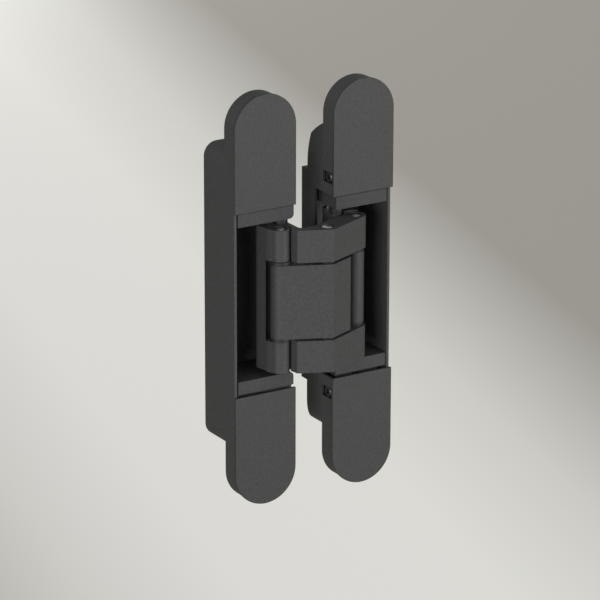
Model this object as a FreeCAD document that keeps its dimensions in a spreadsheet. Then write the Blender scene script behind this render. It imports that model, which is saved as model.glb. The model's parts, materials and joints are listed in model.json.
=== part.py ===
import FreeCAD, Part
import math
import os
import Sketcher

# Concealed door hinge, drawn open at 180 degrees, in millimetres.
# X runs from the frame side to the door side, Y into the wood, Z up.
# Everything is drawn from the housings' front faces, at Y 0, and then set back by the
# flange depth, so that the origin is the middle of the frame housing's screw pattern,
# in the plane in which its flange seats on the wood.
# The plan of the linkage is worked out from its open and closed poses, so it stays
# able to fold when a driving size changes.

os.makedirs("parts", exist_ok=True)
doc = FreeCAD.newDocument("concealed_hinge")
sheet = doc.addObject("Spreadsheet::Sheet", "sizes")
V = FreeCAD.Vector
UP = V(0, 0, 1)


# Driving sizes
driving = {
    "housing_length": 150,
    "housing_width": 24,
    "housing_gap": 16,
    "flange_depth": 6.5,
    "rear_inset": 16.5,
    "body_depth": 20.6,
    "wall": 1,
    "floor": 1.6,
    "pocket_gap": 13.7,
    "shelf_depth": 9.5,
    "side_window_depth": 11.8,
    "frame_window_gap": 2.9,
    "door_window_gap": 0.5,
    "bevel": 3.8,
    "bevel_gap": 6,
    "fixing_spacing_x": 11,
    "fixing_inset": 10,
    "fixing_hole_r": 2.5,
    "fixing_sink_r": 4.4,
    "cover_thick": 1.1,
    "cover_lift": 0.2,
    "cover_overhang": 0.35,
    "cover_gap": 0.25,
    "peg_r": 1.2,
    "peg_length": 3.5,
    "peg_inner_gap": 3.8,
    "peg_outer_inset": 4,
    "plate_top": 26.3,
    "plate_low": 14.8,
    "centre_gap": 1.3,
    "door_knuckle_gap": 1.6,
    "washer_height": 2.1,
    "adapter_height": 5.1,
    "adapter_front": 0.3,
    "adapter_depth": 17,
    "groove_depth": 1,
    "ledge_overhang": 0.3,
    "ledge_corner_r": 1.6,
    "door_adapter_drop": 0.1,
    "window_clear": 0.4,
    "slide_clear": 0.2,
    "tongue_depth": 8.8,
    "tongue_half": 9,
    "tongue_length": 11.3,
    "door_flange_depth": 5.8,
    "door_flange_length": 3.2,
    "slide_foot": 7.6,
    "slide_length": 10,
    "door_adapter_inset": 1.75,
    "adapter_outer_gap": 0.1,
    "height_travel": 2,
    "side_travel": 1.5,
    "depth_travel": 1,
    "centre_shift": 1,
    "centre_front": 7.75,
    "knuckle_span": 15.4,
    "knuckle_front": 1.45,
    "arm_pivot_depth": 4,
    "closed_inset": 17.8,
    "closed_half_gap": 3.4,
    "link_reach": 9,
    "gable_offset": 4.65,
    "arm_end_r": 3.4,
    "arm_end_forward": 0.5,
    "arm_root_r": 4,
    "neck_foot_r": 1.2,
    "waist_back": 2.5,
    "shoulder_round": 1.2,
    "outer_arm_corner": 12.9,
    "centre_arm_corner": 9.9,
    "lobe_r": 3.5,
    "door_knuckle_r": 3.3,
    "barrel_r": 2.3,
    "link_barrel_r": 2.1,
    "link_web_r": 3.2,
    "frame_link_bow": 3.5,
    "door_link_bow": 2.2,
    "barrel_clear": 0.6,
    "sweep_clear": 0.25,
    "web_clear_r": 4.9,
    "swing_clear": 0.4,
    "pin_r": 1.5,
    "link_pin_r": 1.2,
    "head_pin_r": 1.95,
    "head_proud": 0.35,
    "head_rise": 0.65,
    "head_ring_r": 2.45,
    "head_ring_depth": 0.5,
    "run_clear": 0.03,
    "over_cut": 1,
    "pin_bite": 3.6,
    "slot_slack": 0.6,
    "slot_travel": 2.05,
    "slot_depth": 4.2,
    "bush_wall": 0.65,
    "bush_flange_r": 3.1,
    "flange_gap": 0.03,
    "bush_start": 0.1,
    "washer_r": 2.5,
    "screw_r": 2,
    "screw_gap": 6.5,
    "depth_screw_y": 3.4,
    "depth_screw_length": 9,
    "side_screw_r": 1.5,
    "side_screw_gap": 1.65,
    "side_screw_length": 5.4,
    "clamp_head_r": 3.4,
    "clamp_head_height": 2.6,
    "clamp_length": 14.4,
    "screw_slack": 0.3,
    "screw_chamfer": 0.35,
    "hex_r": 1.1,
    "hex_depth": 1.3,
    "notch_extra": 3.2,
    "peg_end_gap": 0.1,
}


def store(alias, number):
    """Writes one named number to the sheet's next row."""
    store.row += 1
    sheet.set(f"A{store.row}", alias)
    sheet.set(f"B{store.row}", str(number))
    sheet.setAlias(f"B{store.row}", alias)


store.row = 0
for alias, number in driving.items():
    store(alias, number)
doc.recompute()


class Size:
    """A number together with the sheet expression that gives it."""

    def __init__(self, number, text):
        self.number = number
        self.text = text

    def __add__(self, other):
        return Size(self.number + other.number, f"({self.text} + {other.text})")

    def __sub__(self, other):
        return Size(self.number - other.number, f"({self.text} - {other.text})")

    def __mul__(self, factor):
        return Size(self.number * factor, f"({self.text} * {factor})")

    def __truediv__(self, divisor):
        return Size(self.number / divisor, f"({self.text} / {divisor})")

    def __neg__(self):
        return Size(-self.number, f"(-1 * {self.text})")


def read(alias):
    """One number from the sheet."""
    return float(getattr(sheet, alias))


def size(alias):
    """One size from the sheet, with its expression."""
    return Size(read(alias), "sizes." + alias)


zero = Size(0, "0")
run = size("run_clear")
seat = size("flange_depth")
half_width = size("housing_width") / 2
half_length = size("housing_length") / 2
pocket_half = half_width - size("wall")
door_x = size("housing_width") + size("housing_gap")
plate_top = size("plate_top")
plate_low = size("plate_low")
centre_half = plate_low - size("centre_gap")
knuckle_half = plate_low - size("door_knuckle_gap")
adapter_low = plate_top + size("washer_height")
adapter_top = adapter_low + size("adapter_height")
cover_start = adapter_top + size("cover_gap")
screw_z = adapter_top + size("screw_gap")
pin_r = size("pin_r")
link_pin_r = size("link_pin_r")
head_pin_r = size("head_pin_r")
barrel_r = size("barrel_r")
bush_r = head_pin_r + run + size("bush_wall")

# Pivots of the linkage in plan.
# The centre pivot C joins the two arms. Each arm runs from its own fixed pivot F past C
# to a knuckle H, where a link leads back to the second fixed pivot G.
# F lies as far from the open place of C as from its closed place, and G is found from H
# in the same way.

frame_edge = half_width.number
door_edge = (door_x - half_width).number
half_gap = read("closed_half_gap")


def turned(point, angle):
    """A plan vector turned about the upright axis."""
    return FreeCAD.Rotation(UP, math.degrees(angle)).multVec(point)


def bearing(vector):
    """The direction of a plan vector."""
    return math.atan2(vector.y, vector.x)


middle_x = (frame_edge + door_edge) / 2
C = V(middle_x + read("centre_shift"), -read("centre_front"), 0)
HA = V(C.x - read("knuckle_span"), -read("knuckle_front"), 0)
HB = V(C.x + read("knuckle_span"), -read("knuckle_front"), 0)


def fixed_pivot_inset(distance):
    """How far F lies inside its housing's edge, for C at a distance outside that edge."""
    front = read("centre_front")
    inset = read("closed_inset")
    lean = (front ** 2 - half_gap ** 2 + 2 * (front - half_gap) * read("arm_pivot_depth"))
    return (inset - distance - lean / (inset + distance)) / 2


FA = V(frame_edge - fixed_pivot_inset(C.x - frame_edge), read("arm_pivot_depth"), 0)
FB = V(door_edge + fixed_pivot_inset(door_edge - C.x), read("arm_pivot_depth"), 0)


def door_to_frame(point):
    """Where a point of the open door lies when the door is closed."""
    return V(frame_edge + door_edge - point.x, -2 * half_gap - point.y, 0)


C_closed = V(frame_edge - read("closed_inset"), -half_gap, 0)
outer_turn = bearing(FA - C_closed) - bearing(FA - C)
centre_turn = bearing(door_to_frame(FB) - C_closed) - bearing(FB - C)
if centre_turn > 0:
    centre_turn -= 2 * math.pi
HA_closed = C_closed + turned(HA - C, centre_turn)
HB_closed = door_to_frame(C_closed + turned(HB - C, outer_turn))


def link_pivot(start, end, side):
    """G stands off the middle of the knuckle's path by the link's reach."""
    path = end - start
    path.normalize()
    return (start + end) / 2 + V(path.y, -path.x, 0) * read("link_reach") * side


GA = link_pivot(HA, HA_closed, 1)
GB = link_pivot(HB, HB_closed, -1)


def stored_point(name, point):
    """A pivot's two coordinates in the sheet, as a place in plan."""
    for axis, number in (("x", point.x), ("y", point.y)):
        store(f"{name}_{axis}", number)
    doc.recompute()
    return size(name + "_x"), size(name + "_y")


centre_place = stored_point("centre_pivot", C)
frame_knuckle_place = stored_point("frame_knuckle", HA)
door_knuckle_place = stored_point("door_knuckle", HB)
frame_arm_place = stored_point("frame_arm_pivot", FA)
door_arm_place = stored_point("door_arm_pivot", FB)
frame_link_place = stored_point("frame_link_pivot", GA)
door_link_place = stored_point("door_link_pivot", GB)


# Solids whose sizes and places are bound to the sheet
nodes = []


def keep(item, name):
    """Marks a solid as one of the hinge's pieces."""
    item.Label = name
    nodes.append(item)
    return item


def put(item, x, y, z):
    """Places a solid from the front plane's coordinates."""
    item.setExpression("Placement.Base.x", x.text)
    item.setExpression("Placement.Base.y", (y - seat).text)
    item.setExpression("Placement.Base.z", z.text)
    return item


def block(name, low, high):
    """A box between two corners, each given as three sizes."""
    solid = doc.addObject("Part::Box", name)
    for side, start, end in zip(("Length", "Width", "Height"), low, high):
        solid.setExpression(side, (end - start).text)
    return put(solid, *low)


def cylinder(name, radius, length, direction=UP):
    solid = doc.addObject("Part::Cylinder", name)
    solid.Placement = FreeCAD.Placement(V(0, 0, 0), FreeCAD.Rotation(UP, direction))
    solid.setExpression("Radius", radius.text)
    solid.setExpression("Height", length.text)
    return solid


def upright(name, place, radius, bottom, top):
    """A cylinder along Z at a place in plan."""
    return put(cylinder(name, radius, top - bottom), place[0], place[1], bottom)


def inward(name, x, z, radius, front, back):
    """A cylinder along Y, into the wood."""
    return put(cylinder(name, radius, back - front, V(0, 1, 0)), x, front, z)


def sideways(name, y, z, radius, start, end):
    """A cylinder along X."""
    return put(cylinder(name, radius, end - start, V(1, 0, 0)), start, y, z)


def hex_socket(name, x, y, z, radius, depth, direction):
    """The hole that a hexagon key goes in."""
    solid = doc.addObject("Part::Prism", name)
    solid.Polygon = 6
    solid.Placement = FreeCAD.Placement(V(0, 0, 0), FreeCAD.Rotation(UP, direction))
    solid.setExpression("Circumradius", radius.text)
    solid.setExpression("Height", depth.text)
    return put(solid, x, y, z)


def fused(name, *items):
    whole = doc.addObject("Part::MultiFuse", name)
    whole.Shapes = list(items)
    whole.Refine = True
    return whole


def cut(name, base, *tools):
    result = doc.addObject("Part::Cut", name)
    result.Base = base
    result.Tool = tools[0] if len(tools) == 1 else fused(name + "_tools", *tools)
    result.Refine = True
    return result


def mirrored(name, item):
    """The same solid upside down, below the middle plane."""
    twin = doc.addObject("Part::Mirroring", name)
    twin.Source = item
    twin.Normal = UP
    return twin


def both_ends(name, upper):
    """An upper piece and its mirror image below, as two pieces."""
    keep(upper, name + "_upper")
    keep(mirrored(name + "_lower", upper), name + "_lower")


def pair(name, upper):
    """An upper solid and its mirror image below, as one piece."""
    both = doc.addObject("Part::Compound", name)
    both.Links = [upper, mirrored(name + "_below", upper)]
    return keep(both, name)


# Plan outlines
def disc(centre, radius):
    return Part.Face(Part.Wire(Part.makeCircle(radius, centre)))


def bar(start, start_r, end, end_r):
    """A flat bar with a round at each end and straight sides that touch both rounds."""
    along = end - start
    length = along.Length
    along.normalize()
    across = V(-along.y, along.x, 0)
    lean = (start_r - end_r) / length
    level = math.sqrt(1 - lean * lean)
    left = along * lean + across * level
    right = along * lean - across * level
    return Part.Face(Part.Wire([
        Part.LineSegment(start + right * start_r, end + right * end_r).toShape(),
        Part.Arc(end + right * end_r, end + along * end_r, end + left * end_r).toShape(),
        Part.LineSegment(end + left * end_r, start + left * start_r).toShape(),
        Part.Arc(start + left * start_r, start - along * start_r, start + right * start_r).toShape(),
    ]))


def polygon(*points):
    """A straight-sided outline, taken anticlockwise, so that its face looks up."""
    corners = list(points)
    if (corners[1] - corners[0]).cross(corners[2] - corners[1]).z < 0:
        corners.reverse()
    return Part.Face(Part.makePolygon(corners + [corners[0]]))


def facing_up(shape):
    """A flat shape's face, with its upper side up."""
    face = shape.Faces[0]
    if face.normalAt(0, 0).z < 0:
        face = Part.Face(Part.Wire([edge.reversed() for edge in reversed(face.OuterWire.OrderedEdges)]))
    return face


def one_face(shape):
    """Merges the touching faces of a flat shape into one."""
    return Part.makeShell(shape.Faces).removeSplitter().Faces[0]


def joined(first, *others):
    return one_face(first.fuse(list(others)))


def without(outline, *tools):
    return one_face(outline.cut(list(tools)))


def plan_outline(name, face):
    """A worked-out outline in the middle plane."""
    outline = doc.addObject("Part::Feature", name)
    outline.Shape = face
    return outline


def plate(name, face, bottom, top):
    """A plan outline made solid between two heights."""
    outline = put(plan_outline(name + "_outline", face), zero, zero, bottom)
    solid = doc.addObject("Part::Extrusion", name)
    solid.Base = outline
    solid.DirMode = "Custom"
    solid.Dir = UP
    solid.Solid = True
    solid.setExpression("LengthFwd", (top - bottom).text)
    return solid


apex = C - V(0, read("gable_offset"), 0)


def arm_plan(knuckle, far_knuckle, corner, far_r, back_corners, neck):
    """Plan of one arm: a gabled front, a round at its knuckle, a neck back to its root,
    and a scoop in which the other arm's knuckle lies when the hinge is open."""
    outward = (knuckle - C) / (knuckle - C).Length
    forward = V(abs(outward.y) * math.copysign(1, outward.x), -abs(outward.x), 0)
    end = knuckle + forward * read("arm_end_forward")
    end_r = read("arm_end_r")
    beam = bar(C, read("arm_root_r"), end, end_r)

    def facet_touch(centre):
        """The point where a line from the apex touches an end round from the front."""
        line = centre - apex
        swing_in = math.asin(end_r / line.Length)
        side = -1 if line.x > 0 else 1
        direction = turned(line, side * swing_in)
        direction.normalize()
        return apex + direction * math.sqrt(line.Length ** 2 - end_r ** 2)

    own_facet = polygon(apex, facet_touch(end), end, C)
    far_forward = V(-forward.x, forward.y, 0)
    far_touch = facet_touch(far_knuckle + far_forward * read("arm_end_forward"))
    rounding = read("shoulder_round")
    shoulder = polygon(apex, far_touch, *back_corners)
    outer_part = facing_up(shoulder.common(disc(C, corner)))
    inner_part = facing_up(shoulder.common(disc(C, corner - 2 * rounding)))
    rounded = facing_up(outer_part.makeOffset2D(-rounding).makeOffset2D(rounding))
    plan = joined(beam, own_facet, rounded, inner_part, neck)
    return without(plan, disc(far_knuckle, far_r + read("swing_clear")))


def at_fold(fraction):
    """Both knuckles and the door's frame of reference, at a fraction of the full fold."""
    centre = FA + turned(C - FA, outer_turn * fraction)
    frame_knuckle = centre + turned(HA - C, centre_turn * fraction)
    door_knuckle = FA + turned(HB - FA, outer_turn * fraction)
    door_pivot = centre + turned(FB - C, centre_turn * fraction)
    return frame_knuckle, door_knuckle, door_pivot


def link_turn(start, end, pivot, way):
    """The angle that a link turns through in its housing, taken the given way round."""
    angle = bearing(end - pivot) - bearing(start - pivot)
    while angle * way < 0:
        angle += way * 2 * math.pi
    return angle


frame_link_turn = link_turn(HA, HA_closed, GA, -1)
door_link_turn = link_turn(HB, HB_closed, GB, 1)


def frame_barrel_places(steps):
    """Where the frame barrel lies, seen from the frame link, as the hinge folds."""
    places = []
    for step in range(steps + 1):
        knuckle = at_fold(step / steps)[0]
        places.append(HA + turned(FA - knuckle, -frame_link_turn * step / steps))
    return places


def door_barrel_places(steps):
    """Where the door barrel lies, seen from the door link, as the hinge folds."""
    places = []
    for step in range(steps + 1):
        fraction = step / steps
        knuckle, pivot = at_fold(fraction)[1:]
        places.append(HB + turned(pivot - knuckle, (math.pi - door_link_turn) * fraction))
    return places


def link_plan(knuckle, knuckle_r, far_pivot, barrel_places, bow_size):
    """Plan of a control link: bowed outwards, and scooped where the arm's barrel passes."""
    line = far_pivot - knuckle
    line.normalize()
    bow = (knuckle + far_pivot) / 2 + V(line.y, -line.x, 0) * bow_size
    web_r = read("link_web_r")
    plan = joined(
        bar(knuckle, knuckle_r, bow, web_r),
        bar(bow, web_r, far_pivot, read("link_barrel_r")),
    )
    passes = [disc(place, read("barrel_r") + read("sweep_clear")) for place in barrel_places]
    return without(plan, disc(barrel_places[0], read("barrel_r") + read("barrel_clear")), *passes)


def head_rings(name, place):
    """Shallow sinks round a pin's two heads."""
    ring_r = size("head_ring_r")
    sink = size("head_ring_depth")
    return [
        upright(name + "_sink_upper", place, ring_r, plate_top - sink, plate_top + sink),
        upright(name + "_sink_lower", place, ring_r, -plate_top - sink, -plate_top + sink),
    ]


def through(name, place, radius):
    """A hole right through the linkage's height."""
    over = size("over_cut")
    return upright(name, place, radius, -plate_top - over, plate_top + over)


# Outer arm: two plates on one barrel, with the centre arm between them
waist_y = C.y + read("waist_back")
foot_r = read("neck_foot_r")
outer_neck = bar(FA, read("barrel_r"), V(FA.x + read("barrel_r") - foot_r, waist_y, 0), foot_r)
outer_back = (V(frame_edge - half_width.number, waist_y, 0), V(C.x, waist_y, 0))
outer_plan = arm_plan(HB, HA, read("outer_arm_corner"), read("lobe_r"), outer_back, outer_neck)
outer_plate = plate("outer_arm_plate", outer_plan, plate_low, plate_top)
outer_solid = fused(
    "outer_arm_solid",
    outer_plate,
    mirrored("outer_arm_lower_plate", outer_plate),
    upright("outer_arm_barrel", frame_arm_place, barrel_r, -plate_top, plate_top),
)
keep(cut(
    "outer_arm",
    outer_solid,
    through("outer_arm_bore", frame_arm_place, pin_r + run),
    through("outer_arm_centre_hole", centre_place, head_pin_r),
    through("outer_arm_knuckle_hole", door_knuckle_place, head_pin_r),
    *head_rings("outer_arm_centre", centre_place),
    *head_rings("outer_arm_knuckle", door_knuckle_place),
), "outer_arm")

# Centre arm: one solid arm at mid height on a full-height barrel
centre_neck = bar(C, read("arm_root_r"), FB, read("barrel_r"))
centre_plan = arm_plan(
    HA, HB, read("centre_arm_corner"), read("door_knuckle_r"), (FB, C), centre_neck)
centre_solid = fused(
    "centre_arm_solid",
    plate("centre_arm_middle", centre_plan, -centre_half, centre_half),
    upright("centre_arm_barrel", door_arm_place, barrel_r, -plate_top, plate_top),
)
keep(cut(
    "centre_arm",
    centre_solid,
    through("centre_arm_bore", door_arm_place, pin_r + run),
    through("centre_arm_centre_hole", centre_place, bush_r),
    through("centre_arm_knuckle_hole", frame_knuckle_place, bush_r),
), "centre_arm")

# Frame link: two lobes on one web, which is open at mid height for the centre arm's end
web_clear = read("web_clear_r")
steps = 8
frame_link_plan = link_plan(
    HA, read("lobe_r"), GA, frame_barrel_places(steps), -read("frame_link_bow"))
frame_link_web = without(frame_link_plan, disc(HA, web_clear))
lobe = plate("frame_link_lobe", frame_link_plan, plate_low, plate_top)
frame_link_solid = fused(
    "frame_link_solid",
    lobe,
    mirrored("frame_link_lower_lobe", lobe),
    plate("frame_link_web", frame_link_web, -plate_top, plate_top),
)
keep(cut(
    "frame_link",
    frame_link_solid,
    through("frame_link_pin_hole", frame_link_place, link_pin_r),
    through("frame_link_knuckle_hole", frame_knuckle_place, head_pin_r),
    *head_rings("frame_link_knuckle", frame_knuckle_place),
), "frame_link")

# Door link: one knuckle between the outer arm's plates, on a full-height web
door_link_plan = link_plan(
    HB, read("door_knuckle_r"), GB, door_barrel_places(steps), read("door_link_bow"))
door_link_web = without(door_link_plan, disc(HB, web_clear))
door_link_solid = fused(
    "door_link_solid",
    plate("door_link_knuckle", door_link_plan, -knuckle_half, knuckle_half),
    plate("door_link_web", door_link_web, -plate_top, plate_top),
)
keep(cut(
    "door_link",
    door_link_solid,
    through("door_link_pin_hole", door_link_place, link_pin_r),
    through("door_link_knuckle_hole", door_knuckle_place, bush_r),
), "door_link")

# Pins: three with domed heads that show, four that reach into the adapters
head_rise = size("head_rise")
head_top = plate_top + size("head_proud")
head_foot = head_top - head_rise
dome_r = Size(
    (head_pin_r.number ** 2 + head_rise.number ** 2) / (2 * head_rise.number),
    f"(({head_pin_r.text} ^ 2 + {head_rise.text} ^ 2) / (2 * {head_rise.text}))")


def domed_head(name, place):
    """The part of a ball above a pin's straight end."""
    dome = doc.addObject("Part::Sphere", name)
    dome.setExpression("Radius", dome_r.text)
    dome.setExpression("Angle1", f"asin({(dome_r - head_rise).text} / {dome_r.text})")
    return put(dome, place[0], place[1], head_top - dome_r)


for name, place in (
    ("centre_pin", centre_place),
    ("frame_knuckle_pin", frame_knuckle_place),
    ("door_knuckle_pin", door_knuckle_place),
):
    dome = domed_head(name + "_dome", place)
    shaft = upright(name + "_shaft", place, head_pin_r, -head_foot, head_foot)
    keep(fused(name, shaft, dome, mirrored(name + "_lower_dome", dome)), name)

pin_top = adapter_low + size("pin_bite")
for name, place, radius in (
    ("frame_arm_pin", frame_arm_place, pin_r),
    ("door_arm_pin", door_arm_place, pin_r),
    ("frame_link_pin", frame_link_place, link_pin_r),
    ("door_link_pin", door_link_place, link_pin_r),
):
    keep(upright(name, place, radius, -pin_top, pin_top), name)

# Flanged bushes, pushed in from above and below, their flanges in the gap to the plates
for name, place, half in (
    ("centre_bushes", centre_place, centre_half),
    ("frame_knuckle_bushes", frame_knuckle_place, centre_half),
    ("door_knuckle_bushes", door_knuckle_place, knuckle_half),
):
    flange_top = plate_low - size("flange_gap")
    sleeve = fused(
        name + "_sleeve",
        upright(name + "_tube", place, bush_r, size("bush_start"), half),
        upright(name + "_flange", place, size("bush_flange_r"), half, flange_top),
    )
    pair(name, cut(name + "_above", sleeve, through(name + "_bore", place, head_pin_r + run)))

# Thick washers that centre each arm's barrel between the adapters
for name, place in (("frame_arm_washers", frame_arm_place), ("door_arm_washers", door_arm_place)):
    ring = upright(name + "_ring", place, size("washer_r"), plate_top + size("flange_gap"), adapter_low)
    bore = upright(name + "_bore", place, pin_r, plate_top, adapter_low + size("over_cut"))
    pair(name, cut(name + "_above", ring, bore))

# Adapters: blocks above and below the linkage that hold the fixed pivots
adapter_front = size("adapter_front")
adapter_back = adapter_front + size("adapter_depth")
clear = size("window_clear")
ledge_back = size("side_window_depth") - clear
tongue_half = size("tongue_half")
screw_r = size("screw_r")
slack = size("screw_slack")
over = size("over_cut")


def pivot_cuts(name, arm_place, link_place, link_point):
    """The arm pin's bore, and the slot in which the link's pin is free to slide."""
    slot_r = (link_pin_r + size("slot_slack")).number
    slot_end = link_point - V(0, read("slot_travel"), 0)
    slot = bar(link_point, slot_r, slot_end, slot_r)
    return [
        upright(name + "_arm_bore", arm_place, pin_r, adapter_low - over, pin_top),
        plate(name + "_link_slot", slot, adapter_low - over, adapter_low + size("slot_depth")),
    ]


def height_slot(name, radius, back):
    """An upright slot that lets the clamp screw travel."""
    travel = size("height_travel")
    return fused(
        name,
        inward(name + "_high", zero, screw_z + travel, radius, zero, back),
        inward(name + "_low", zero, screw_z - travel, radius, zero, back),
        block(name + "_middle", (-radius, zero, screw_z - travel), (radius, back, screw_z + travel)),
    )


frame_outer = clear - pocket_half
ledge_end = half_width + size("ledge_overhang")
corner_r = size("ledge_corner_r")
tongue_front = adapter_front + size("groove_depth")
tongue_back = size("tongue_depth")
ledge_corner = cut(
    "frame_adapter_corner",
    block("frame_adapter_corner_block", (ledge_end - corner_r, zero, adapter_low - over),
          (ledge_end + over, ledge_back + over, adapter_low + corner_r)),
    inward("frame_adapter_corner_round", ledge_end - corner_r, adapter_low + corner_r, corner_r,
           zero, ledge_back + over),
)
frame_adapter_solid = fused(
    "frame_adapter_solid",
    block("frame_adapter_ledge", (frame_outer, adapter_front, adapter_low),
          (ledge_end, ledge_back, adapter_top)),
    block("frame_adapter_head", (frame_outer, adapter_front, adapter_low),
          (-frame_outer, adapter_back, adapter_top)),
    block("frame_adapter_tongue", (-tongue_half, tongue_front, adapter_top),
          (tongue_half, tongue_back, adapter_top + size("tongue_length"))),
)
clamp_top = adapter_front + slack
clamp_seat = clamp_top + size("clamp_head_height")
both_ends("frame_adapter", cut(
    "frame_adapter",
    frame_adapter_solid,
    height_slot("clamp_slot", screw_r + slack, tongue_back + over),
    height_slot("clamp_head_slot", size("clamp_head_r") + slack, clamp_seat),
    ledge_corner,
    *pivot_cuts("frame_adapter", frame_arm_place, frame_link_place, GA),
))

door_edge_x = door_x - half_width
door_inner = door_edge_x + size("door_adapter_inset")
door_outer = door_x + pocket_half - size("adapter_outer_gap")
door_adapter_top = adapter_top - size("door_adapter_drop")
flange_back = size("door_flange_depth")
side_screw_z = adapter_top + size("side_screw_gap")
side_screw_r = size("side_screw_r")
door_flange_end = door_adapter_top + size("door_flange_length")
door_adapter_solid = fused(
    "door_adapter_solid",
    block("door_adapter_ledge", (door_inner, adapter_front, adapter_low),
          (door_outer, ledge_back - size("side_travel"), door_adapter_top)),
    block("door_adapter_head",
          (door_edge_x + size("wall") + size("depth_travel") + clear, adapter_front, adapter_low),
          (door_outer, adapter_back, door_adapter_top)),
    block("door_adapter_flange", (door_x - tongue_half, tongue_front, door_adapter_top),
          (door_x + tongue_half, flange_back, door_flange_end)),
)
both_ends("door_adapter", cut(
    "door_adapter",
    door_adapter_solid,
    inward("door_adapter_screw_hole", door_x, side_screw_z, side_screw_r + run, zero, flange_back + over),
    *pivot_cuts("door_adapter", door_arm_place, door_link_place, GB),
))

# Door slides: blocks that the door adapters are set against, drawn sideways by the depth screws
slide_clear = size("slide_clear")
slide_half = pocket_half - size("depth_travel") - slide_clear
slide_back = size("shelf_depth") - slide_clear
slide_start = door_flange_end + slide_clear
slide_foot = size("slide_foot")
slide_end = slide_start + size("slide_length")
screw_y = size("depth_screw_y")
screw_start = door_edge_x + slack
depth_screw_end = screw_start + size("depth_screw_length")
slide_solid = fused(
    "door_slide_solid",
    block("door_slide_head", (door_x - slide_half, adapter_front, slide_start),
          (door_x + slide_half, slide_back, slide_end)),
    block("door_slide_foot", (door_x - slide_half, slide_foot, cover_start),
          (door_x + slide_half, slide_back, slide_start)),
)
both_ends("door_slide", cut(
    "door_slide",
    slide_solid,
    sideways("door_slide_thread", screw_y, screw_z, screw_r + run, door_x - slide_half - over,
             depth_screw_end + size("depth_travel") + run),
))

# Depth screws, with a chamfered end, in the notches of the door housing
rim = size("screw_chamfer")
tip = doc.addObject("Part::Cone", "depth_screw_tip")
tip.Placement = FreeCAD.Placement(V(0, 0, 0), FreeCAD.Rotation(UP, V(1, 0, 0)))
tip.setExpression("Radius1", (screw_r - rim).text)
tip.setExpression("Radius2", screw_r.text)
tip.setExpression("Height", rim.text)
put(tip, screw_start, screw_y, screw_z)
hex_r = size("hex_r")
both_ends("depth_screw", cut(
    "depth_screw",
    fused("depth_screw_solid", tip,
          sideways("depth_screw_shaft", screw_y, screw_z, screw_r, screw_start + rim, depth_screw_end)),
    hex_socket("depth_screw_socket", screw_start, screw_y, screw_z, hex_r, size("hex_depth"), V(1, 0, 0)),
))

# Side screws, which push the door adapters away from the slides
side_screw_top = slide_foot - size("side_screw_length")
both_ends("side_screw", cut(
    "side_screw",
    inward("side_screw_shaft", door_x, side_screw_z, side_screw_r, side_screw_top, slide_foot),
    hex_socket("side_screw_socket", door_x, side_screw_top, side_screw_z, hex_r,
               size("hex_depth"), V(0, 1, 0)),
))

# Height screws, which clamp the frame adapters to the frame housing
clamp_solid = fused(
    "height_screw_solid",
    inward("height_screw_head", zero, screw_z, size("clamp_head_r"), clamp_top, clamp_seat),
    inward("height_screw_shaft", zero, screw_z, screw_r, clamp_seat, clamp_top + size("clamp_length")),
)
pair("height_screws", cut(
    "height_screw",
    clamp_solid,
    hex_socket("height_screw_socket", zero, clamp_top, screw_z, hex_r, size("hex_depth"), V(0, 1, 0)),
))


# Housings: cast boxes with round ends, a thin flange and a deep pocket
def origin_plane(body, role):
    for plane in body.Origin.OriginFeatures:
        if plane.Role == role:
            return plane
    raise ValueError(role)


def new_body(name, x):
    """A body whose front plane lies ahead of the seating plane."""
    body = doc.addObject("PartDesign::Body", name)
    put(body, x, zero, zero)
    return keep(body, name)


def plane_sketch(body, name, role, offset):
    """A sketch on one of the body's planes, set off by a size."""
    sketch = body.newObject("Sketcher::SketchObject", name)
    sketch.AttachmentSupport = (origin_plane(body, role), [""])
    sketch.MapMode = "FlatFace"
    sketch.setExpression(".AttachmentOffset.Base.z", offset.text)
    return sketch


def front_sketch(body, name, offset=zero):
    return plane_sketch(body, name, "XZ_Plane", offset)


def bind(sketch, constraint, size_there):
    index = sketch.addConstraint(constraint)
    sketch.setExpression(f"Constraints[{index}]", size_there.text)


def place_point(sketch, line, end, across, up):
    """Ties a point to the origin by two sizes, either of which may be negative."""
    for kind, on_axis, there in (("DistanceX", -2, across), ("DistanceY", -1, up)):
        if there is zero:
            sketch.addConstraint(Sketcher.Constraint("PointOnObject", line, end, on_axis))
        elif there.number < 0:
            bind(sketch, Sketcher.Constraint(kind, line, end, -1, 1, -there.number), -there)
        else:
            bind(sketch, Sketcher.Constraint(kind, -1, 1, line, end, there.number), there)


def add_slot_outline(sketch, half_span, radius):
    """An upright slot centred on the origin: two half rounds and two straight sides."""
    r = radius.number
    high = half_span.number
    top = Part.Arc(V(r, high, 0), V(0, high + r, 0), V(-r, high, 0))
    bottom = Part.Arc(V(-r, -high, 0), V(0, -high - r, 0), V(r, -high, 0))
    upper = sketch.addGeometry(top, False)
    lower = sketch.addGeometry(bottom, False)
    left = sketch.addGeometry(Part.LineSegment(V(-r, high, 0), V(-r, -high, 0)), False)
    right = sketch.addGeometry(Part.LineSegment(V(r, -high, 0), V(r, high, 0)), False)
    sketch.addConstraint(Sketcher.Constraint("Tangent", upper, 2, left, 1))
    sketch.addConstraint(Sketcher.Constraint("Tangent", left, 2, lower, 1))
    sketch.addConstraint(Sketcher.Constraint("Tangent", lower, 2, right, 1))
    sketch.addConstraint(Sketcher.Constraint("Tangent", right, 2, upper, 1))
    sketch.addConstraint(Sketcher.Constraint("Symmetric", upper, 3, lower, 3, -1, 1))
    sketch.addConstraint(Sketcher.Constraint("PointOnObject", upper, 3, -2))
    bind(sketch, Sketcher.Constraint("Radius", upper, r), radius)
    bind(sketch, Sketcher.Constraint("DistanceY", lower, 3, upper, 3, 2 * high), half_span * 2)


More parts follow.
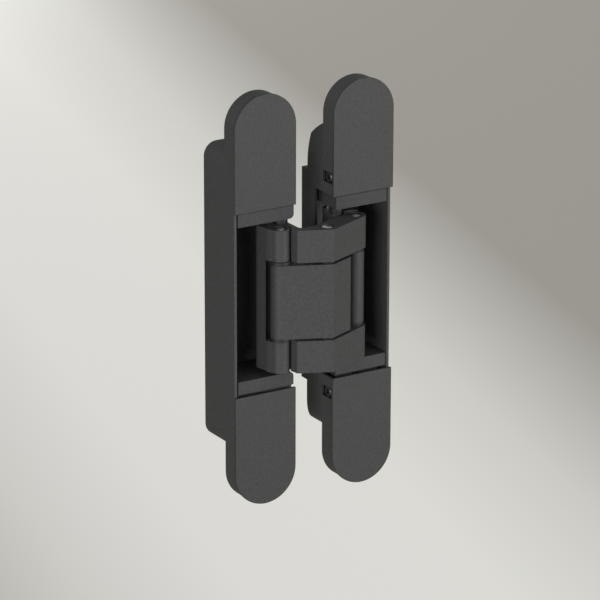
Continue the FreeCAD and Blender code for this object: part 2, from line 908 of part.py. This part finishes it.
def closed_lines(sketch, corners):
    """Straight lines from corner to corner and back to the first."""
    lines = []
    for start, end in zip(corners, corners[1:] + corners[:1]):
        lines.append(sketch.addGeometry(Part.LineSegment(start, end), False))
    for first, second in zip(lines, lines[1:] + lines[:1]):
        sketch.addConstraint(Sketcher.Constraint("Coincident", first, 2, second, 1))
    return lines


def add_rectangle(sketch, low, high):
    """A rectangle between two corners, each given as two sizes."""
    x0, z0 = (there.number for there in low)
    x1, z1 = (there.number for there in high)
    lines = closed_lines(sketch, [V(x0, z0, 0), V(x1, z0, 0), V(x1, z1, 0), V(x0, z1, 0)])
    for level in (lines[0], lines[2]):
        sketch.addConstraint(Sketcher.Constraint("Horizontal", level))
    for side in (lines[1], lines[3]):
        sketch.addConstraint(Sketcher.Constraint("Vertical", side))
    place_point(sketch, lines[0], 1, *low)
    place_point(sketch, lines[2], 1, *high)


def pad(body, sketch, depth):
    solid = body.newObject("PartDesign::Pad", sketch.Name + "_pad")
    solid.Profile = sketch
    solid.Reversed = True
    solid.setExpression("Length", depth.text)
    return solid


def pocket(body, sketch, depth):
    hollow = body.newObject("PartDesign::Pocket", sketch.Name + "_pocket")
    hollow.Profile = sketch
    hollow.setExpression("Length", depth.text)
    return hollow


def rectangle_pocket(body, name, low, high, depth):
    """A pocket from a rectangle on the front plane."""
    sketch = front_sketch(body, name)
    add_rectangle(sketch, low, high)
    return pocket(body, sketch, depth)


def housing(name, x, side, window_half):
    """One housing. side is 1 where the linkage leaves towards +X and -1 towards -X."""
    body = new_body(name, x)
    flange = front_sketch(body, name + "_flange")
    add_slot_outline(flange, half_length - half_width, half_width)
    pad(body, flange, size("flange_depth"))
    rear = front_sketch(body, name + "_rear")
    add_slot_outline(rear, half_length - size("rear_inset") - half_width, half_width)
    pad(body, rear, size("body_depth"))

    shelf_half = adapter_top + size("pocket_gap")
    rectangle_pocket(body, name + "_shelf", (-pocket_half, -shelf_half),
                     (pocket_half, shelf_half), size("shelf_depth"))
    rectangle_pocket(body, name + "_well", (-pocket_half, -window_half),
                     (pocket_half, window_half), size("body_depth") - size("floor"))
    beyond = half_width + over
    within = pocket_half - over
    if side > 0:
        rectangle_pocket(body, name + "_window", (within, -window_half),
                         (beyond, window_half), size("side_window_depth"))
    else:
        rectangle_pocket(body, name + "_window", (-beyond, -window_half),
                         (-within, window_half), size("side_window_depth"))
    return body


def add_holes(body, name, places, radius, depth):
    """Round pockets from the front plane at the given places in X and Z."""
    sketch = front_sketch(body, name)
    for across, up in places:
        circle = sketch.addGeometry(
            Part.Circle(V(across.number, up.number, 0), UP, radius.number), False)
        place_point(sketch, circle, 3, across, up)
        bind(sketch, Sketcher.Constraint("Radius", circle, radius.number), radius)
    return pocket(body, sketch, depth)


peg_heights = (adapter_top + size("pocket_gap") + size("peg_inner_gap"), half_length - size("peg_outer_inset"))


def peg_holes(body):
    places = [(zero, height) for height in peg_heights] + [(zero, -height) for height in peg_heights]
    add_holes(body, body.Name + "_pegs", places, size("peg_r"), size("peg_length"))


def fixing_holes(body):
    """Four countersunk holes through the flange ends."""
    across = size("fixing_spacing_x") / 2
    up = half_length - size("fixing_inset")
    hole_r = size("fixing_hole_r")
    places = [(across, up), (-across, up), (-across, -up), (across, -up)]
    holes = add_holes(body, body.Name + "_fixings", places, hole_r, size("flange_depth"))
    doc.recompute()
    rims = []
    for index, edge in enumerate(holes.Shape.Edges, 1):
        on_front = abs(edge.BoundBox.YMax) < 1e-6
        if on_front and isinstance(edge.Curve, Part.Circle):
            if abs(edge.Curve.Radius - hole_r.number) < 1e-6:
                rims.append(f"Edge{index}")
    sinks = body.newObject("PartDesign::Chamfer", body.Name + "_sinks")
    sinks.Base = (holes, rims)
    sinks.setExpression("Size", (size("fixing_sink_r") - hole_r).text)


def bevel_back_corner(body, side):
    """Cuts the inner back corner away beyond the window, above and below."""
    cut_size = size("bevel")
    depth = size("body_depth")
    start = adapter_top + size("bevel_gap")
    for sign, end in ((1, "upper"), (-1, "lower")):
        sketch = plane_sketch(body, f"{body.Name}_bevel_{end}", "XY_Plane", start * sign)
        corner = V(side * half_width.number, depth.number, 0)
        inner = corner - V(side * cut_size.number, 0, 0)
        front = corner - V(0, cut_size.number, 0)
        lines = closed_lines(sketch, [inner, corner, front])
        sketch.addConstraint(Sketcher.Constraint("Horizontal", lines[0]))
        sketch.addConstraint(Sketcher.Constraint("Vertical", lines[1]))
        place_point(sketch, lines[1], 1, half_width * side, depth)
        upright_size = Sketcher.Constraint("DistanceY", lines[1], 2, lines[1], 1, cut_size.number)
        bind(sketch, upright_size, cut_size)
        first, second = (1, 2) if side > 0 else (2, 1)
        level_size = Sketcher.Constraint("DistanceX", lines[0], first, lines[0], second, cut_size.number)
        bind(sketch, level_size, cut_size)
        removed = pocket(body, sketch, half_length)
        removed.Reversed = sign > 0


frame_body = housing("frame_housing", zero, 1, adapter_top + size("frame_window_gap"))
bevel_back_corner(frame_body, 1)
add_holes(frame_body, "frame_housing_clamps", [(zero, screw_z), (zero, -screw_z)], screw_r,
          clamp_top + size("clamp_length"))
peg_holes(frame_body)
fixing_holes(frame_body)

door_body = housing("door_housing", door_x, -1, adapter_top + size("door_window_gap"))
bevel_back_corner(door_body, -1)
notch_depth = screw_y + size("notch_extra")
for sign, end in ((1, "upper"), (-1, "lower")):
    rectangle_pocket(
        door_body, "door_housing_notch_" + end,
        (-half_width - over, screw_z * sign - screw_r - run),
        (over - pocket_half, screw_z * sign + screw_r + run), notch_depth)
peg_holes(door_body)
fixing_holes(door_body)


# Covers: thin caps over the fixing screws, each with two pegs
def cover(name, x, sign):
    body = new_body(name, x)
    radius = half_width + size("cover_overhang")
    round_z = (half_length - half_width) * sign
    start_z = cover_start * sign
    sketch = front_sketch(body, name + "_cap", size("cover_thick") + size("cover_lift"))
    r = radius.number
    right = V(r, round_z.number, 0)
    left = V(-r, round_z.number, 0)
    start_left = V(-r, start_z.number, 0)
    start_right = V(r, start_z.number, 0)
    end = sketch.addGeometry(Part.Arc(right, V(0, round_z.number + sign * r, 0), left), False)
    right_end, left_end = (1, 2) if sign > 0 else (2, 1)
    sides = [
        sketch.addGeometry(Part.LineSegment(left, start_left), False),
        sketch.addGeometry(Part.LineSegment(start_left, start_right), False),
        sketch.addGeometry(Part.LineSegment(start_right, right), False),
    ]
    sketch.addConstraint(Sketcher.Constraint("Tangent", end, left_end, sides[0], 1))
    sketch.addConstraint(Sketcher.Constraint("Coincident", sides[0], 2, sides[1], 1))
    sketch.addConstraint(Sketcher.Constraint("Coincident", sides[1], 2, sides[2], 1))
    sketch.addConstraint(Sketcher.Constraint("Tangent", sides[2], 2, end, right_end))
    sketch.addConstraint(Sketcher.Constraint("Horizontal", sides[1]))
    bind(sketch, Sketcher.Constraint("Radius", end, r), radius)
    place_point(sketch, end, 3, zero, round_z)
    if sign > 0:
        start = Sketcher.Constraint("DistanceY", -1, 1, sides[1], 1, cover_start.number)
    else:
        start = Sketcher.Constraint("DistanceY", sides[1], 1, -1, 1, cover_start.number)
    bind(sketch, start, cover_start)
    pad(body, sketch, size("cover_thick"))

    pegs = front_sketch(body, name + "_pegs", size("cover_lift"))
    peg_r = size("peg_r")
    for height in peg_heights:
        up = height * sign
        circle = pegs.addGeometry(Part.Circle(V(0, up.number, 0), UP, peg_r.number), False)
        place_point(pegs, circle, 3, zero, up)
        bind(pegs, Sketcher.Constraint("Radius", circle, peg_r.number), peg_r)
    pad(body, pegs, size("peg_length") + size("cover_lift") - size("peg_end_gap"))


for sign, end in ((1, "upper"), (-1, "lower")):
    cover("frame_cover_" + end, zero, sign)
    cover("door_cover_" + end, door_x, sign)

# Check and export
doc.recompute()
for item in doc.Objects:
    if "Invalid" in item.State or "Error" in item.State:
        raise RuntimeError(f"{item.Label}: {item.State}")
for item in nodes:
    if item.Shape.isNull() or not item.Shape.isValid():
        raise RuntimeError(f"{item.Label} has no valid shape")
for item in nodes:
    item.Shape.exportStep(f"parts/{item.Label}.step")
    print(item.Label, round(item.Shape.Volume, 1), "solids", len(item.Shape.Solids))
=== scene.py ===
import json
import math

import bmesh
import bpy
import numpy as np
from mathutils import Matrix, Vector


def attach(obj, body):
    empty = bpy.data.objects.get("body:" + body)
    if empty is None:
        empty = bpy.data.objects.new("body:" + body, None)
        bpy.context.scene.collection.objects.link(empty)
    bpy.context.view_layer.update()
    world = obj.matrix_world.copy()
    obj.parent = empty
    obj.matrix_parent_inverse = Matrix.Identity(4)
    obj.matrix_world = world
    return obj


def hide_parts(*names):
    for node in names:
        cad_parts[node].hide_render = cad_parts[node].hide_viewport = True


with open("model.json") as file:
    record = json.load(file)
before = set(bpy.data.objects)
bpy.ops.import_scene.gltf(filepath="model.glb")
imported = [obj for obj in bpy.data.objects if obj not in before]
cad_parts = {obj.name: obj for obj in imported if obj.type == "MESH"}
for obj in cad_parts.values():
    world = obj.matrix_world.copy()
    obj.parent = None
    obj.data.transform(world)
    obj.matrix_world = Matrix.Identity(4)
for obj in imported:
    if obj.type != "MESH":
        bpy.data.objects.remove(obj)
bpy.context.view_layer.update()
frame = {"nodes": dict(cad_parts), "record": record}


# Studio floor: a pale sheet well below the hinge, with one broad soft band of light painted
# across it.
# Seen straight on it glows with that painted band, and a share of the lamps' light keeps the soft
# shadow.
class Socket:
    """Wraps one shader socket, so that maths on it reads as plain Python."""

    def __init__(self, tree, socket):
        self.tree = tree
        self.socket = socket

    def maths(self, operation, other):
        return add_node(self.tree, "ShaderNodeMath", {"operation": operation}, [self, other])

    def __add__(self, other):
        return self.maths("ADD", other)

    __radd__ = __add__

    def __mul__(self, other):
        return self.maths("MULTIPLY", other)

    __rmul__ = __mul__

    def between(self, low, high):
        """0 below low, 1 above high, smooth in between."""
        settings = {"interpolation_type": "SMOOTHSTEP"}
        return add_node(self.tree, "ShaderNodeMapRange", settings, [self, low, high, 0.0, 1.0])


def set_stops(ramp, stops):
    """Gives a colour ramp a stop for each place and colour."""
    while len(ramp.elements) < len(stops):
        ramp.elements.new(0.5)
    for element, (place, colour) in zip(ramp.elements, stops):
        element.position = place
        element.color = colour


def add_node(tree, kind, settings=None, values=(), output=0):
    """Adds a node, sets it up, then feeds its inputs in order, or by name from a dict."""
    node = tree.nodes.new(kind)
    for name, value in (settings or {}).items():
        if name == "stops":
            set_stops(node.color_ramp, value)
        else:
            setattr(node, name, value)
    pairs = values.items() if isinstance(values, dict) else enumerate(values)
    for key, value in pairs:
        if isinstance(value, Socket):
            tree.links.new(value.socket, node.inputs[key])
        else:
            node.inputs[key].default_value = value
    return Socket(tree, node.outputs[output])


class Finish:
    """One material: its shader, its Object coordinates, and what feeds the shader's sockets."""

    def __init__(self, name):
        self.material = bpy.data.materials.new(name)
        self.material.use_nodes = True
        self.tree = self.material.node_tree
        self.shader = self.tree.nodes["Principled BSDF"]
        self.place = self.node("ShaderNodeTexCoord", output="Object")

    def node(self, kind, settings=None, values=(), output=0):
        return add_node(self.tree, kind, settings, values, output)

    def noise(self, scale, detail=2.0):
        """Cloudy noise from 0 to 1, with scale waves in a metre."""
        return self.node("ShaderNodeTexNoise", {}, {
            "Vector": self.place, "Scale": scale, "Detail": detail})

    def mix(self, factor, first, second):
        """One colour where the factor is 0, the other where it is 1."""
        factor_in, first_in, second_in, colour_out = 0, 6, 7, 2
        return self.node("ShaderNodeMix", {"data_type": "RGBA"}, {
            factor_in: factor, first_in: first, second_in: second}, colour_out)

    def feed(self, **values):
        """Sets or links the shader's sockets, named with _ in place of each space."""
        for name, value in values.items():
            socket = self.shader.inputs[name.replace("_", " ")]
            if isinstance(value, Socket):
                self.tree.links.new(value.socket, socket)
            else:
                socket.default_value = value
        return self


def shown(red, green=None, blue=None):
    """The linear colour that shows on the screen with these levels from 0 to 255.
    A single level is a grey."""
    levels = (red, red if green is None else green, red if blue is None else blue)
    return *(((level / 255 + 0.055) / 1.055) ** 2.4 for level in levels), 1


floor_height = -0.35
floor_half = 6.0
band_slope, band_shift = (1.746, -0.4232, 0.0), 0.054
lit_share = 0.15

floor_finish = Finish("pale_floor")
across = floor_finish.node("ShaderNodeVectorMath", {"operation": "DOT_PRODUCT"},
                           [floor_finish.place, band_slope], "Value") + band_shift
# The ramp paints the band of light: pale in the middle, darker towards both sides.
painted_light_band = floor_finish.node("ShaderNodeValToRGB", {"stops": [
    (0.0, shown(167, 164, 159)),
    (0.2, shown(211, 210, 205)),
    (0.34, shown(226, 224, 220)),
    (0.57, shown(226, 225, 220)),
    (0.72, shown(210, 209, 204)),
    (0.92, shown(160, 157, 150)),
]}, [across])
floor_finish.feed(Base_Color=painted_light_band, Roughness=1.0, Specular_IOR_Level=0.0)
# Camera rays see the painted band as a glow, whatever the lamps do.
seen = floor_finish.node("ShaderNodeLightPath", output="Is Camera Ray")
painted_band_glow = floor_finish.node("ShaderNodeEmission", {}, {"Color": painted_light_band, "Strength": 1.0})
lit_tone = Socket(floor_finish.tree, floor_finish.shader.outputs[0])
mixed = floor_finish.node("ShaderNodeMixShader", {}, [seen * (1 - lit_share), lit_tone, painted_band_glow])
surface = floor_finish.tree.nodes["Material Output"].inputs["Surface"]
floor_finish.tree.links.new(mixed.socket, surface)

floor_mesh = bpy.data.meshes.new("floor")
floor_mesh.from_pydata([
    (-floor_half, -floor_half, floor_height),
    (floor_half, -floor_half, floor_height),
    (floor_half, floor_half, floor_height),
    (-floor_half, floor_half, floor_height),
], [], [(0, 1, 2, 3)])
floor_mesh.materials.append(floor_finish.material)
floor = bpy.data.objects.new("floor", floor_mesh)
bpy.context.scene.collection.objects.link(floor)


# Lamps: two strong soft boxes, at the front right and the front left, and two weaker ones,
# above and behind. A dim, even room fills the shadows.
lamp_target = Vector((0.02, 0, 0))


def soft_lamp(name, place, size, watts):
    """A square lamp that faces the hinge."""
    data = bpy.data.lights.new(name, "AREA")
    data.size = size
    data.energy = watts
    lamp = bpy.data.objects.new(name, data)
    lamp.location = place
    lamp.rotation_euler = (lamp_target - Vector(place)).to_track_quat("-Z", "Y").to_euler()
    bpy.context.scene.collection.objects.link(lamp)


soft_lamp("right_lamp", (1.08, -1.76, 0.25), 1.0, 22)
soft_lamp("left_lamp", (-1.65, -1.26, 0.2), 0.9, 22)
soft_lamp("top_lamp", (0.2, -0.6, 2.0), 0.9, 1.5)
soft_lamp("rear_lamp", (0.7, 2.0, -0.15), 0.5, 14)

room = bpy.data.worlds.new("room")
room.use_nodes = True
room.node_tree.nodes["Background"].inputs["Color"].default_value = (0.95, 0.96, 0.97, 1)
room.node_tree.nodes["Background"].inputs["Strength"].default_value = 0.32
bpy.context.scene.world = room
bpy.context.scene.view_settings.view_transform = "Standard"


# Camera: a long lens, at the left of the hinge's front and a little above it. Its place, aim
# and lens are fitted to the hinge's corners.
azimuth = math.radians(31.49)
elevation = math.radians(18.95)
roll = math.radians(0.11)
distance = 1.3794
aim = Vector((0.01474, -0.0065, -0.00211))
back = Vector((
    -math.sin(azimuth) * math.cos(elevation),
    -math.cos(azimuth) * math.cos(elevation),
    math.sin(elevation),
))
camera_data = bpy.data.cameras.new("camera")
camera_data.lens = 235.93
camera_data.sensor_width = 36
camera_data.clip_start = 0.05
camera_data.clip_end = 50
camera = bpy.data.objects.new("camera", camera_data)
camera.location = aim + back * distance
upright_view = (-back).to_track_quat("-Z", "Y").to_matrix()
camera.rotation_euler = (upright_view @ Matrix.Rotation(roll, 3, "Z")).to_euler()
bpy.context.scene.collection.objects.link(camera)
bpy.context.scene.camera = camera


# Housings: die-cast zinc boxes, deburred, then powder-coated black in a fine even grain.
# The coat draws back from sharp corners, so every edge has a small round.
bodies = frame["record"]["behaviour"]["bodies"]
body_of = {node: body for body, nodes in bodies.items() for node in nodes}
same_point = 2e-6
flat_angle, sharp_angle = math.radians(0.3), math.radians(28)


def softened(name, finish, rim, reshape=None):
    """The CAD piece with its loose triangles joined, changed by reshape if that is given, and
    with each sharp edge rounded by rim millimetres."""
    shape = bmesh.new()
    shape.from_mesh(frame["nodes"][name].data)
    bmesh.ops.remove_doubles(shape, verts=shape.verts, dist=same_point)
    bmesh.ops.dissolve_limit(shape, angle_limit=flat_angle, verts=shape.verts, edges=shape.edges)
    if reshape:
        reshape(shape)
    mesh = bpy.data.meshes.new(name + "_coated")
    shape.to_mesh(mesh)
    shape.free()
    mesh.shade_smooth()
    mesh.materials.append(finish.material)
    piece = bpy.data.objects.new(name + "_coated", mesh)
    bpy.context.scene.collection.objects.link(piece)
    bevel = piece.modifiers.new("soft_edges", "BEVEL")
    bevel.width = rim / 1000
    bevel.segments = 3
    bevel.limit_method = "ANGLE"
    bevel.angle_limit = sharp_angle
    bevel.harden_normals = True
    bevel.miter_outer = "MITER_ARC"
    even = piece.modifiers.new("even_faces", "WEIGHTED_NORMAL")
    even.mode = "FACE_AREA"
    even.weight = 90
    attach(piece, body_of[name])
    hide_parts(name)


def powder_coat(name, level, roughness, grain):
    """A dull black coat: fine bumps, a speckle of lighter and darker grains, a cloudy sheen."""
    finish = Finish(name)
    height = finish.noise(2600.0) * 0.7 + finish.noise(900.0, 1.0) * 0.3
    bump = finish.node("ShaderNodeBump", {}, {
        "Strength": grain, "Distance": 0.00012, "Height": height})
    return finish.feed(
        Base_Color=finish.mix(height.between(0.42, 0.62), shown(level - 5), shown(level + 5)),
        Roughness=finish.noise(60.0) * 0.08 + (roughness - 0.04),
        Specular_IOR_Level=0.4,
        Normal=bump,
    )


hair = 1e-5


def near(value, place, within=1e-4):
    """Whether value is less than within away from place."""
    return abs(value - place) < within


half_width, arc_centre = 0.012, 0.0465
body_end, outer_corner = 0.0545, 0.005


def draw_body_in(middle, outer, lowest):
    """Draws the half-round ends of a housing's deep part, those above lowest, in to body_end.
    Each point of an end's arc goes to a quarter arc of the same side: of half_width on the
    inner side, and of the smaller radius outer_corner on the outer side."""
    def reshape(shape):
        for vert in shape.verts:
            aside = abs(vert.co.x - middle)
            if vert.co.y < -hair or aside > half_width + hair or vert.co.z < lowest:
                continue
            arc_z = arc_centre + math.sqrt(max(half_width ** 2 - aside ** 2, 0))
            if not near(abs(vert.co.z), arc_z, within=2e-4):
                continue
            corner = outer_corner if (vert.co.x - middle) * outer > 0 else half_width
            into = max(aside - (half_width - corner), 0)
            new_z = body_end - corner + math.sqrt(max(corner ** 2 - into ** 2, 0))
            vert.co.z = math.copysign(new_z, vert.co.z)
    return reshape


# Painted light: the housings' copy of the black coat is set lighter than the covers' (68 against
# 60), to brighten side faces the lamps reach less.
housing_coat_painted_light = powder_coat("housing_powder_coat", level=68, roughness=0.55, grain=0.5)
softened("frame_housing", housing_coat_painted_light, rim=0.25,
         reshape=draw_body_in(middle=0.0, outer=-1, lowest=-0.06))
softened("door_housing", housing_coat_painted_light, rim=0.25,
         reshape=draw_body_in(middle=0.04, outer=1, lowest=0.0))


# Covers: thin pressed caps, coated like the housings. Two are pushed on over each housing's
# fixing screws.
cover_coat = powder_coat("cover_powder_coat", level=60, roughness=0.5, grain=0.45)
for side in ("frame", "door"):
    for end in ("upper", "lower"):
        softened(f"{side}_cover_{end}", cover_coat, rim=0.22)


# Adapters and slides: machined blocks in a matt black coat. The adapters hold the linkage's
# outer pivots and reach under the covers with a tongue. The slides carry the door adapters
# in the door housing.
tongue_start, tongue_front, groove_floor = 0.0335, -0.0052, -0.0036
tongue_half, wider_half, block_edge = 0.009, 0.0105, 0.0333


def fit_loosely(end_x, room, groove):
    """Moves an adapter's outer end by room and its face towards the cover back by groove. The
    front of its tongue goes back to the groove's floor, and a frame adapter's is made wider."""
    def reshape(shape):
        for vert in shape.verts:
            if near(vert.co.x, end_x):
                vert.co.x += room
            if near(vert.co.y, tongue_front):
                vert.co.y = groove_floor
            if near(abs(vert.co.x), tongue_half) and abs(vert.co.z) > block_edge:
                vert.co.x = math.copysign(wider_half, vert.co.x)
            if near(abs(vert.co.z), tongue_start, within=1.5e-4):
                vert.co.z -= math.copysign(groove, vert.co.z)
    return reshape


def cut_across(shape, point, normal):
    """Adds edges where the plane through point, square to normal, crosses the shape."""
    everything = shape.verts[:] + shape.edges[:] + shape.faces[:]
    bmesh.ops.bisect_plane(shape, geom=everything, dist=1e-7, plane_co=point, plane_no=normal)


ledge_start, raised_face = 0.01065, 0.03315
hang_front, hang_step = -0.0051, 5e-5
hang_end, hang_side = 0.0351, 0.0119


def close_side(shape):
    """Fits a frame adapter loosely, and lets the part of its ledge that lies behind the
    groove hang down over the open side of the housing."""
    fit_loosely(end_x=-0.0106, room=0.0003, groove=0.00035)(shape)
    cut_across(shape, (ledge_start, 0, 0), (1, 0, 0))
    cut_across(shape, (0, hang_front, 0), (0, 1, 0))
    cut_across(shape, (0, hang_front + hang_step, 0), (0, 1, 0))
    for vert in shape.verts:
        over_side = vert.co.x > ledge_start - hair and vert.co.y > hang_front + hang_step / 2
        if over_side and near(abs(vert.co.z), raised_face, within=2 * hair):
            vert.co.z = math.copysign(hang_end, vert.co.z)
            vert.co.x = min(vert.co.x, hang_side)


adapter_coat = powder_coat("adapter_matt_coat", level=61, roughness=0.6, grain=0.35)
fit_door_adapter = fit_loosely(end_x=0.0509, room=-0.0002, groove=0.0003)
for end in ("upper", "lower"):
    softened(f"frame_adapter_{end}", adapter_coat, rim=0.2, reshape=close_side)
    softened(f"door_adapter_{end}", adapter_coat, rim=0.2, reshape=fit_door_adapter)
    softened(f"door_slide_{end}", adapter_coat, rim=0.2)


# Arms: two crossed castings that carry the door, in the same coat with a heavier grain. The
# outer arm is a fork, and the centre arm turns between its plates on the centre pin.
waist_corner, waist_round = Vector((0.01145, -0.01175)), 0.0016
plate_low, closer = 0.0148, 0.00035


def fill_waist(shape):
    """Rounds the inner corner where the outer arm's neck leaves its back, and brings the
    arm's plates closer to the centre arm."""
    upright = [edge for edge in shape.edges if all(
        near((vert.co.xy - waist_corner).length, 0, within=2e-4) for vert in edge.verts)]
    bmesh.ops.bevel(shape, geom=upright, offset=waist_round, offset_type="OFFSET", segments=6,
                    profile=0.5, affect="EDGES")
    for vert in shape.verts:
        if near(abs(vert.co.z), plate_low, within=hair):
            vert.co.z -= math.copysign(closer, vert.co.z)


arm_coat = powder_coat("arm_powder_coat", level=67, roughness=0.52, grain=0.55)
softened("centre_arm", arm_coat, rim=0.25)
softened("outer_arm", arm_coat, rim=0.25, reshape=fill_waist)


# Control links: short castings in the arms' coat. Each joins an arm's knuckle to a long pin
# in the adapters, and so holds the arms crossed at every angle.
knuckle = np.array([0.0056, -0.00795])
bow = np.array([0.00366, -0.00107])
knuckle_r, bow_r, belly = 0.0035, 0.0032, 0.00055
side_cuts = 11


def belly_out(shape):
    """Turns the link's flat side between knuckle and bow into a shallow arc: each point
    moves out along the side's normal by belly times 1 - t squared, t running from -1 to 1."""
    along = bow - knuckle
    length = np.hypot(*along)
    along /= length
    aside = np.array([-along[1], along[0]])
    lean = (knuckle_r - bow_r) / length
    normal = along * lean + aside * math.sqrt(1 - lean * lean)
    start = knuckle + normal * knuckle_r
    half_side = (bow + normal * bow_r - start) / 2
    for t in np.linspace(-1, 1, side_cuts + 2)[1:-1]:
        cut_across(shape, (*(start + half_side * (1 + t)), 0), (*half_side, 0))
    for vert in shape.verts:
        place = np.array(vert.co[:2]) - start
        t = place @ half_side / (half_side @ half_side) - 1
        if near(place @ normal, 0, within=2 * hair) and abs(t) < 1:
            vert.co.x += normal[0] * belly * (1 - t * t)
            vert.co.y += normal[1] * belly * (1 - t * t)


link_coat = powder_coat("link_powder_coat", level=66, roughness=0.52, grain=0.55)
softened("frame_link", link_coat, rim=0.25, reshape=belly_out)
softened("door_link", link_coat, rim=0.25)


# Pins: turned steel, left bright. The three in the middle of the linkage have domed heads in
# shallow sinks, and four long ones join it to the adapters.
def turned_steel(name, level, roughness):
    """Bright metal with a fine uneven polish."""
    finish = Finish(name)
    return finish.feed(
        Base_Color=shown(level),
        Metallic=1.0,
        Roughness=finish.noise(1500.0, 3.0) * 0.16 + (roughness - 0.08),
    )


def paint(names, finish):
    """Gives CAD pieces that are shown as they are their finish."""
    for name in names:
        materials = frame["nodes"][name].data.materials
        materials.clear()
        materials.append(finish.material)


bright_steel = turned_steel("bright_pin_steel", level=225, roughness=0.24)
for name in ("centre_pin", "frame_knuckle_pin", "door_knuckle_pin"):
    softened(name, bright_steel, rim=0.15)
paint(["frame_arm_pin", "door_arm_pin", "frame_link_pin", "door_link_pin"], bright_steel)


# Screws: blackened steel with hexagon sockets. They set the hinge's depth and side, and clamp
# its height.
def blackened_steel(name):
    """Oil-blacked steel in a cloudy, uneven tone."""
    finish = Finish(name)
    return finish.feed(
        Base_Color=finish.mix(finish.noise(1200.0), shown(70), shown(96)),
        Metallic=0.85,
        Roughness=finish.noise(700.0) * 0.2 + 0.32,
    )


screw_steel = blackened_steel("blackened_screw_steel")
for name in ("depth_screw_upper", "depth_screw_lower", "side_screw_upper", "side_screw_lower",
             "height_screws"):
    softened(name, screw_steel, rim=0.1)


# Bushes and washers: dark self-lubricating plastic. The bushes are pressed in and the washers
# lie between, so that no coat rubs on coat where the arms and links turn.
def bearing_plastic(name):
    """A dark filled plastic with a faint swirl."""
    finish = Finish(name)
    return finish.feed(
        Base_Color=finish.mix(finish.noise(700.0), shown(26), shown(38)),
        Roughness=finish.noise(300.0) * 0.1 + 0.45,
    )


flange_r, wider_r = 0.0031, 0.0041


def wide_flange(shape):
    """Spreads the bushes' thin flanges round the frame knuckle."""
    for vert in shape.verts:
        place = np.array(vert.co[:2]) - knuckle
        if near(np.hypot(*place), flange_r):
            vert.co.xy = knuckle + place * wider_r / flange_r


bush_plastic = bearing_plastic("bearing_plastic")
softened("frame_knuckle_bushes", bush_plastic, rim=0.1, reshape=wide_flange)
paint(["centre_bushes", "door_knuckle_bushes"], bush_plastic)
paint(["frame_arm_washers", "door_arm_washers"], bush_plastic)
